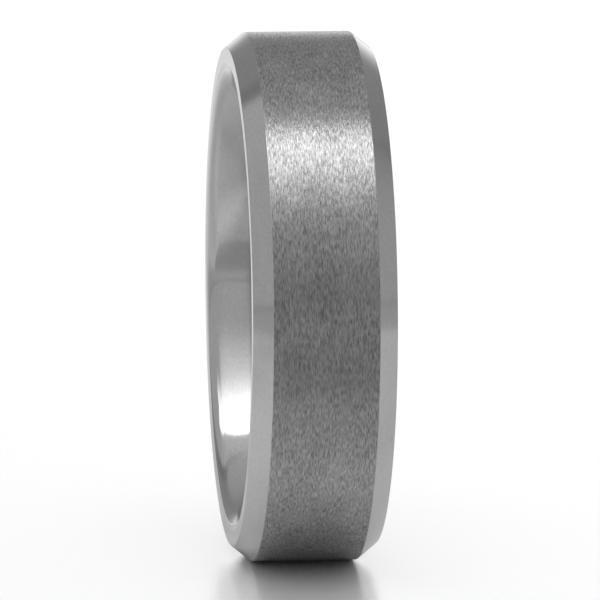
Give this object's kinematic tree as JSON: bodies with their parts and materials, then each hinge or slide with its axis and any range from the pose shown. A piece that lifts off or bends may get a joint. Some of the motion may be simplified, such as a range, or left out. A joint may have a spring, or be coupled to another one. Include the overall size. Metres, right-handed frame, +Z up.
{
  "type": "wedding band",
  "caption": "Plain ring for a finger: flat brushed outer face, straight polished bevels, narrow side faces and a polished comfort-fit bore.",
  "frame": {"origin": "centre of the ring: on the finger's axis, midway between the two side faces", "axes": "+X along the finger's axis, +Z up; the band stands on its edge, and its lowest line is one outer radius below the origin"},
  "size_m": [0.006, 0.0224, 0.0224],
  "materials": {
    "band": "grey titanium: brushed outer face, polished bevels, side faces and bore"
  },
  "bodies": {
    "root": {"band": "band"}
  },
  "joints": []
}
